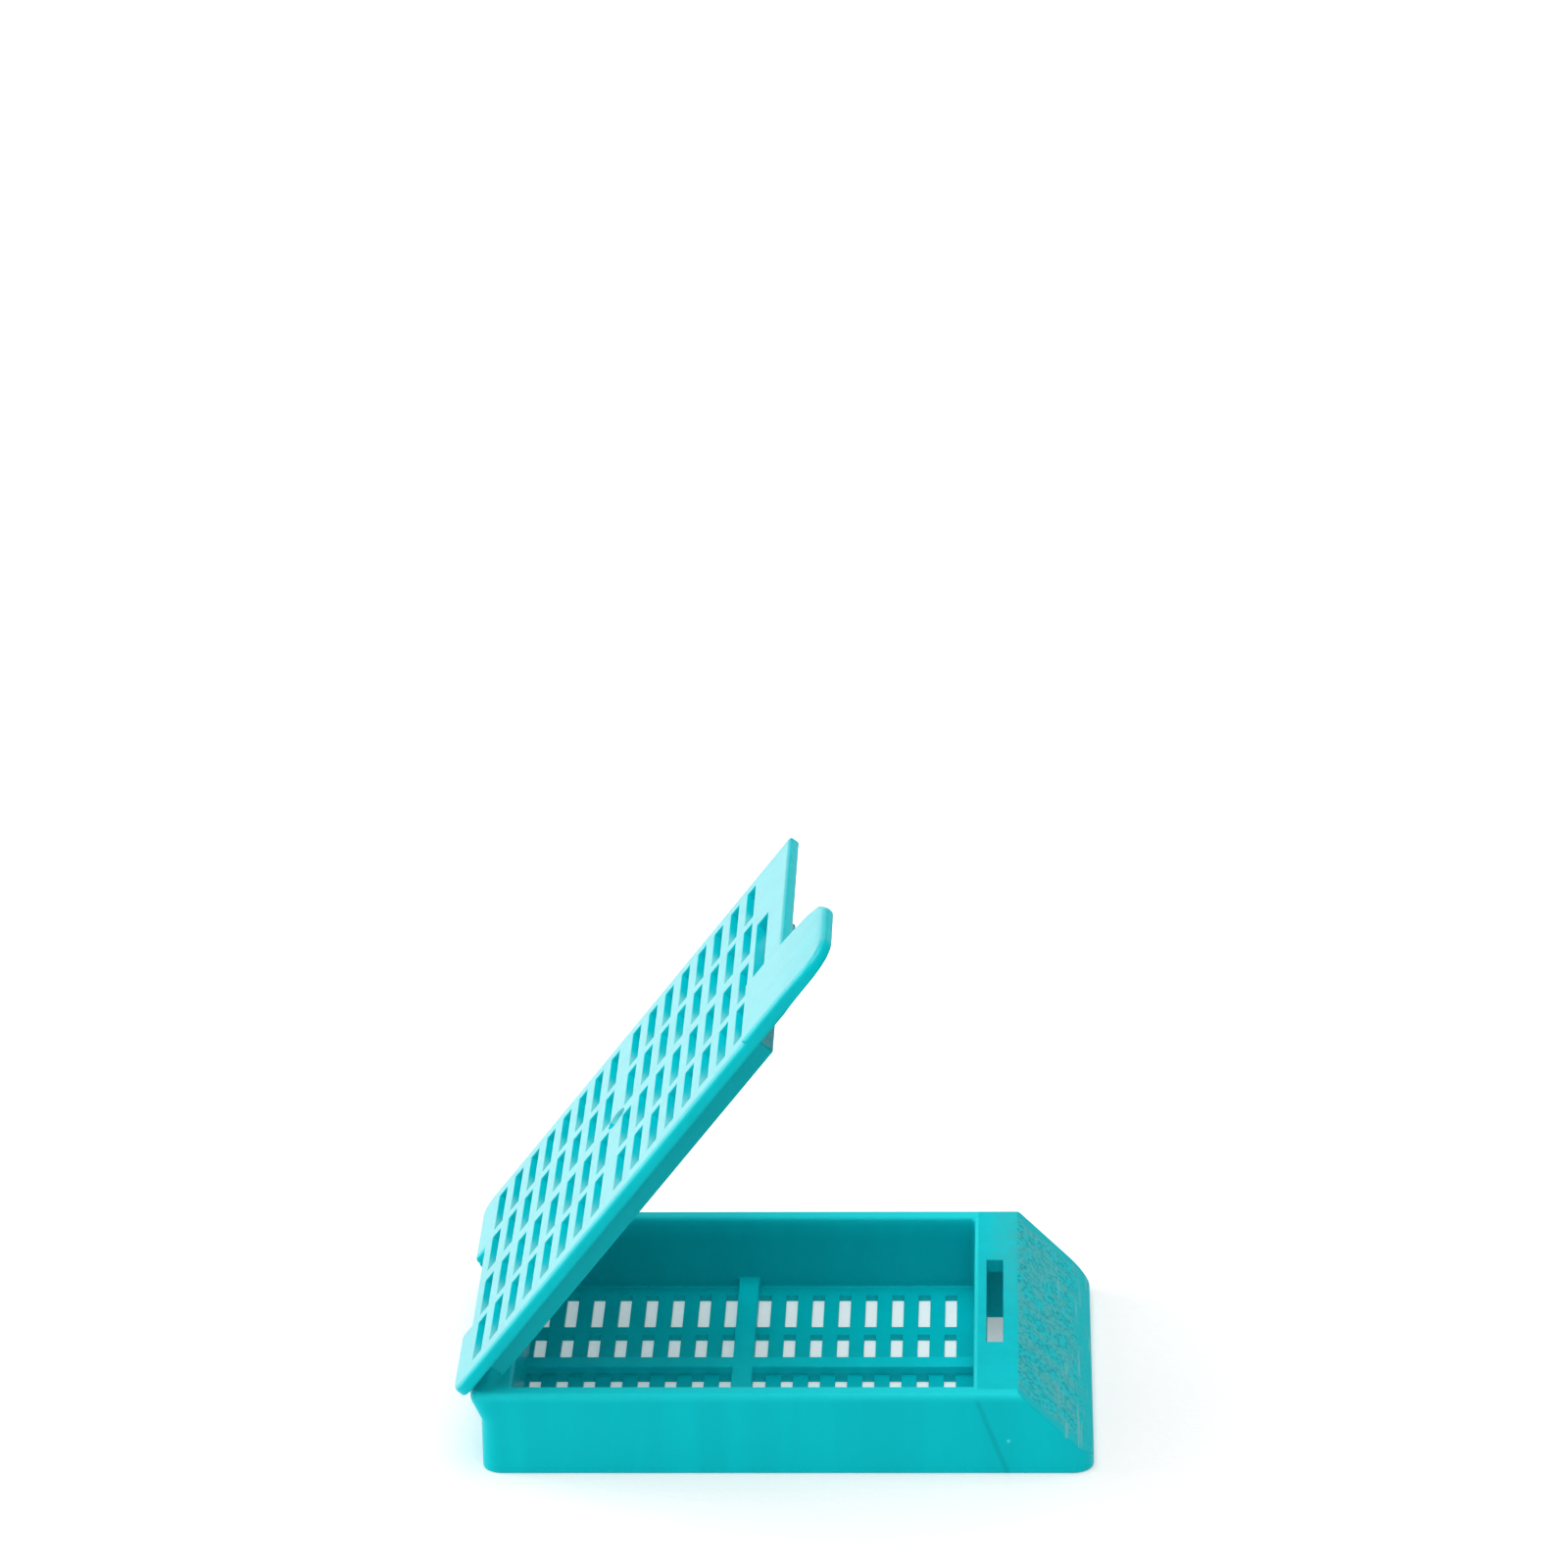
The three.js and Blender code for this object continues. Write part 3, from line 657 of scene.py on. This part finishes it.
def place_in_lid(x, y, z):
    if x < LID_REAR + LID_CORNER and abs(y) > CORNER_FROM_Y:
        share = (abs(y) - CORNER_FROM_Y) / (HALF_LID - CORNER_FROM_Y)
        y -= math.copysign(corner_inset(x, LID_REAR, LID_CORNER) * share, y)
    if x > TAB_BEND_X and y < TAB_INNER + CLOSE:
        run = x - TAB_BEND_X
        inset = corner_inset(x, TAB_BEND_X + TAB_REACH, TAB_CORNER)
        y = TAB_MIDDLE + (y - TAB_MIDDLE) * (HALF_TAB - inset) / HALF_TAB
        top = PLATE + PAD_RISE
        bend_radius = TAB_REACH / TAB_BEND
        thickness = TAB_ROOT + (TAB_TIP - TAB_ROOT) * run / TAB_REACH
        radius = bend_radius - (top - z) * thickness / top
        turn = run / bend_radius
        x = TAB_BEND_X + radius * math.sin(turn)
        z = top - bend_radius + radius * math.cos(turn)
    return x, y, z


def lid_rounding(x, y, z):
    on_tab = x > PAD_X - CLOSE and y < TAB_INNER + CLOSE
    behind_notch = x < LID_REAR + LID_CORNER and abs(y) > HALF_NOTCH + CLOSE
    if near(y, TAB_INNER) and z > CLOSE and LID_FRONT - CLOSE < x < LID_FRONT + 0.4:
        return LID_SOFT["pad"]
    if x > LID_FRONT + CLOSE or near(abs(y), HALF_LID) or behind_notch:
        return LID_SOFT["outline"] if z > PLATE - CLOSE else LID_SOFT["skirt"]
    if z < -CLOSE:
        return LID_SOFT["skirt"]
    if on_tab and z > PLATE - CLOSE:
        return LID_SOFT["plate"] if near(x, LID_FRONT) else LID_SOFT["pad"]
    if near(x, LID_FRONT) or x < NOTCH_X + CLOSE:
        return LID_SOFT["plate"]
    return LID_SOFT["under"] if near(z, 0.0) else LID_SOFT["slot"]


def lid_finish(x, y, z, normal):
    return 1 if z > PLATE - CLOSE and normal.z > 0.6 else 0


lid = moulding("lid_plate", lid_x, lid_y, lid_z, lid_is_solid, place_in_lid,
               lid_rounding, lid_finish)


def lid_acetal():
    """The tray's plastic, with painted shade on the skirt under the plate and painted light
    at the near end of each slot. `above` is height over the plate's underside and `out` is
    distance from the pin, both as if the lid lay shut."""
    recipe = Recipe("lid acetal")
    colour, roughness, relief = satin(recipe)
    x = recipe.math("SUBTRACT", recipe.axis("X"), PIN_X)
    y = recipe.axis("Y")
    z = recipe.math("SUBTRACT", recipe.axis("Z"), PIN_Z)
    rise = recipe.math("SUBTRACT", recipe.math("MULTIPLY", z, math.cos(OPEN)), LID_Z)
    above = recipe.math("SUBTRACT", rise, recipe.math("MULTIPLY", x, math.sin(OPEN)))
    out = recipe.math("ADD", recipe.math("MULTIPLY", x, math.cos(OPEN)),
                      recipe.math("MULTIPLY", z, math.sin(OPEN)))
    # painted shade on the skirt under the plate
    colour = recipe.blend(recipe.ramp(above, 0.25, 0.0, 0.0, SKIRT_SHADE_SHARE), colour, SHADE_AND_SPECK_TONE)
    # painted light at the near end of each slot
    along = recipe.math("MODULO", recipe.math("ADD", y, SLOT_PITCH - LID_COLUMNS[0][0]),
                        SLOT_PITCH)
    slot_light = recipe.math("MULTIPLY", recipe.ramp(along, *SLOT_LIGHT_FADE, SLOT_LIGHT_SHARE, 0.0),
                       recipe.ramp(recipe.math("ABSOLUTE", y, 0.0), *SLOT_END_Y))
    slot_light = recipe.math("MULTIPLY", slot_light, recipe.ramp(above, 0.0, 0.3))
    slot_light = recipe.math("MULTIPLY", slot_light, recipe.ramp(out, SKIRT_FRONT, FRONT_SKIRT[0]))
    colour = recipe.blend(slot_light, colour, SLOT_PAINTED_LIGHT)
    return recipe.finish(colour, roughness, relief, 0.08)


lid.data.materials.append(lid_acetal())
lid_face = Recipe("lid top face")
lid.data.materials.append(lid_face.finish(*satin(lid_face), 0.5, 0.7))

# The gate mark is a shallow round dimple in the middle of the plate.
DIMPLE_RADIUS = 0.88
DIMPLE_DEPTH = 0.3
DIMPLE_SIDES = 40
CREASE = math.radians(60)
cutter_mesh = bpy.data.meshes.new("dimple cutter")
bm = bmesh.new()
bmesh.ops.create_cone(bm, cap_ends=True, segments=DIMPLE_SIDES, radius1=DIMPLE_RADIUS * MM,
                      radius2=DIMPLE_RADIUS * MM, depth=2 * DIMPLE_DEPTH * MM)
for face in bm.faces:
    face.smooth = True
bm.to_mesh(cutter_mesh)
bm.free()
cutter = bpy.data.objects.new("dimple cutter", cutter_mesh)
bpy.context.collection.objects.link(cutter)
middle_bar = (lid_rows[ROWS_PER_FIELD - 1] + LID_SLOT, lid_rows[ROWS_PER_FIELD])
cutter.location = (sum(middle_bar) / 2 * MM, 0, PLATE * MM)
dimple = lid.modifiers.new("dimple", "BOOLEAN")
dimple.operation = "DIFFERENCE"
dimple.solver = "MANIFOLD"
dimple.object = cutter
lid.modifiers["rounded edges"].harden_normals = False
bpy.context.view_layer.update()
dimpled = bpy.data.meshes.new_from_object(
    lid.evaluated_get(bpy.context.evaluated_depsgraph_get()))
dimpled.set_sharp_from_angle(angle=CREASE)
lid.modifiers.clear()
lid.data = dimpled
even = lid.modifiers.new("even shading", "WEIGHTED_NORMAL")
even.weight = 100
even.keep_sharp = True
bpy.data.objects.remove(cutter)

opened = (Matrix.Translation((PIN_X * MM, 0, PIN_Z * MM)) @ Matrix.Rotation(-OPEN, 4, "Y")
          @ Matrix.Translation((0, 0, LID_Z * MM)))
lid.data.transform(opened)
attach(lid, "lid")
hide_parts("lid")


# ---------------------------------------------------------------------------------------
# Hinge pin and its two ears. Moulded in one with the lid: the ears reach down beside the
# notch and carry the pin, which lies under the tray's hook.
# ---------------------------------------------------------------------------------------
EAR_RADIUS = 0.5
EAR_WIDTH = 0.55
PIN_RADIUS = 0.45
EAR_EDGE = 0.08
EAR_IN_PLATE = 0.45                            # how far an ear's top runs up into the plate
PIN_IN_EAR = 0.2
PIN_SIDES = 24
ear_top = PIN_Z + LID_Z + EAR_IN_PLATE
ear_outline = [(PIN_X + EAR_RADIUS, ear_top), (PIN_X + LID_REAR, ear_top)]
ear_outline += arc(EAR_RADIUS, 160, 360, 20)
turn_open = (Matrix.Translation((PIN_X * MM, 0, PIN_Z * MM)) @ Matrix.Rotation(-OPEN, 4, "Y")
             @ Matrix.Translation((-PIN_X * MM, 0, -PIN_Z * MM)))
for side, name in ((-1, "near_ear"), (1, "far_ear")):
    ends = sorted((side * HALF_NOTCH, side * (HALF_NOTCH + EAR_WIDTH)))
    ear = across(name, ear_outline, *ends, EAR_EDGE)
    ear.data.materials.append(lid.data.materials[0])
    ear.data.transform(turn_open)
    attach(ear, "lid")
pin_outline = arc(PIN_RADIUS, 0, 360 - 360 / PIN_SIDES, PIN_SIDES - 1)
pin = across("hinge_pin", pin_outline, -HALF_NOTCH - PIN_IN_EAR, HALF_NOTCH + PIN_IN_EAR,
             EAR_EDGE)
pin.data.materials.append(lid.data.materials[0])
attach(pin, "lid")


# ---------------------------------------------------------------------------------------
# Floor, light and camera. A white bench, an even sky and three softboxes. The bench and
# the backdrop are set brighter for the rays that show them, and the bench also has a low
# glow of its own for every ray, which lights the undersides.
# ---------------------------------------------------------------------------------------
bpy.ops.mesh.primitive_plane_add(size=3, location=(0, 0, cad_low.z))
floor = bpy.context.object
floor.name = "floor"
BENCH = 0.85
BENCH_FLECK = 0.98
GLOW = (0.3, 1.0)                              # lifts the bench to white where it is seen:
GLOW_SPREAD = (22.0, 75.0)                     # least by the tray, whose shadow it keeps
UNDERGLOW = 0.16                               # the bench's own glow, for every ray
bench = Recipe("white bench")
rays = bench.tree.nodes.new("ShaderNodeLightPath")
seen = bench.math("MAXIMUM", rays.outputs["Is Camera Ray"], rays.outputs["Is Glossy Ray"])
seen = bench.math("MAXIMUM", seen, rays.outputs["Is Transmission Ray"])
away = bench.tree.nodes.new("ShaderNodeVectorMath")
away.operation = "LENGTH"
bench.link(bench.place, away.inputs[0])
distance = bench.math("DIVIDE", away.outputs["Value"], MM)
glow = bench.math("MULTIPLY", seen, bench.ramp(distance, *GLOW_SPREAD, *GLOW))
glow = bench.math("MAXIMUM", glow, UNDERGLOW)
bench.link(glow, bench.shader.inputs["Emission Strength"])
bench.shader.inputs["Emission Color"].default_value = (1, 1, 1, 1)
fleck = bench.ramp(bench.noise(0.8), 0.3, 0.7)
shade = bench.blend(fleck, (BENCH,) * 3, (BENCH_FLECK * BENCH,) * 3)
floor.data.materials.append(bench.finish(shade, 0.9, bench.bump(fleck, 0.01), 0.0))

SKY = 0.24
BACKDROP_TOP = (0.15, 0.40)                    # the backdrop fades out between these heights
CEILING = 0.1
world = bpy.data.worlds.new("studio")
bpy.context.scene.world = world
world.use_nodes = True
tree = world.node_tree
light = tree.nodes["Background"]
light.inputs["Color"].default_value = (1, 1, 1, 1)
light.inputs["Strength"].default_value = SKY
backdrop = tree.nodes.new("ShaderNodeBackground")
backdrop.inputs["Color"].default_value = (1, 1, 1, 1)
direction = tree.nodes.new("ShaderNodeTexCoord").outputs["Generated"]
height = tree.nodes.new("ShaderNodeSeparateXYZ")
tree.links.new(direction, height.inputs[0])
fade = tree.nodes.new("ShaderNodeMapRange")
fade.interpolation_type = "SMOOTHSTEP"
for socket, number in zip(("From Min", "From Max", "To Min", "To Max"),
                          (*BACKDROP_TOP, 1.0, CEILING)):
    fade.inputs[socket].default_value = number
tree.links.new(height.outputs["Z"], fade.inputs["Value"])
tree.links.new(fade.outputs["Result"], backdrop.inputs["Strength"])
rays = tree.nodes.new("ShaderNodeLightPath")
seen = rays.outputs["Is Camera Ray"]
for ray in ("Is Glossy Ray", "Is Transmission Ray"):
    either = tree.nodes.new("ShaderNodeMath")
    either.operation = "MAXIMUM"
    tree.links.new(seen, either.inputs[0])
    tree.links.new(rays.outputs[ray], either.inputs[1])
    seen = either.outputs["Value"]
choice = tree.nodes.new("ShaderNodeMixShader")
tree.links.new(seen, choice.inputs[0])
tree.links.new(light.outputs["Background"], choice.inputs[1])
tree.links.new(backdrop.outputs["Background"], choice.inputs[2])
tree.links.new(choice.outputs["Shader"], tree.nodes["World Output"].inputs["Surface"])


def softbox(name, towards, distance, size, level):
    """A square lamp that lights a surface facing it at this level, where 1 is white."""
    lamp = bpy.data.lights.new(name, "AREA")
    lamp.size = size
    lamp.energy = level * (math.pi * distance) ** 2
    box = bpy.data.objects.new(name, lamp)
    bpy.context.collection.objects.link(box)
    direction = Vector(towards).normalized()
    box.location = direction * distance
    box.rotation_mode = "QUATERNION"
    box.rotation_quaternion = (-direction).to_track_quat("-Z", "Y")


softbox("top softbox", (-0.08, -0.10, 0.99), 0.6, 0.5, 0.60)
softbox("rear softbox", (-0.80, 0.18, 0.35), 0.6, 0.4, 0.46)
softbox("front softbox", (0.10, -0.65, 0.75), 0.6, 0.5, 0.06)

CAMERA_AT = (15.53, -402.58, 202.20)
CAMERA_TURN = (-2.148, 21.549, -0.998)         # heading, downward tilt and roll, degrees
LENS = 152.54
SENSOR_WIDTH = 36
camera = bpy.data.objects.new("camera", bpy.data.cameras.new("camera"))
bpy.context.collection.objects.link(camera)
bpy.context.scene.camera = camera
camera.location = Vector(CAMERA_AT) * MM
heading, tilt, roll = (math.radians(a) for a in CAMERA_TURN)
look = Vector((math.sin(heading) * math.cos(tilt), math.cos(heading) * math.cos(tilt),
               -math.sin(tilt)))
camera.rotation_mode = "QUATERNION"
camera.rotation_quaternion = (look.to_track_quat("-Z", "Y")
                              @ Quaternion((0, 0, 1), roll))
camera.data.lens = LENS
camera.data.sensor_width = SENSOR_WIDTH

bpy.context.scene.view_settings.view_transform = "Standard"
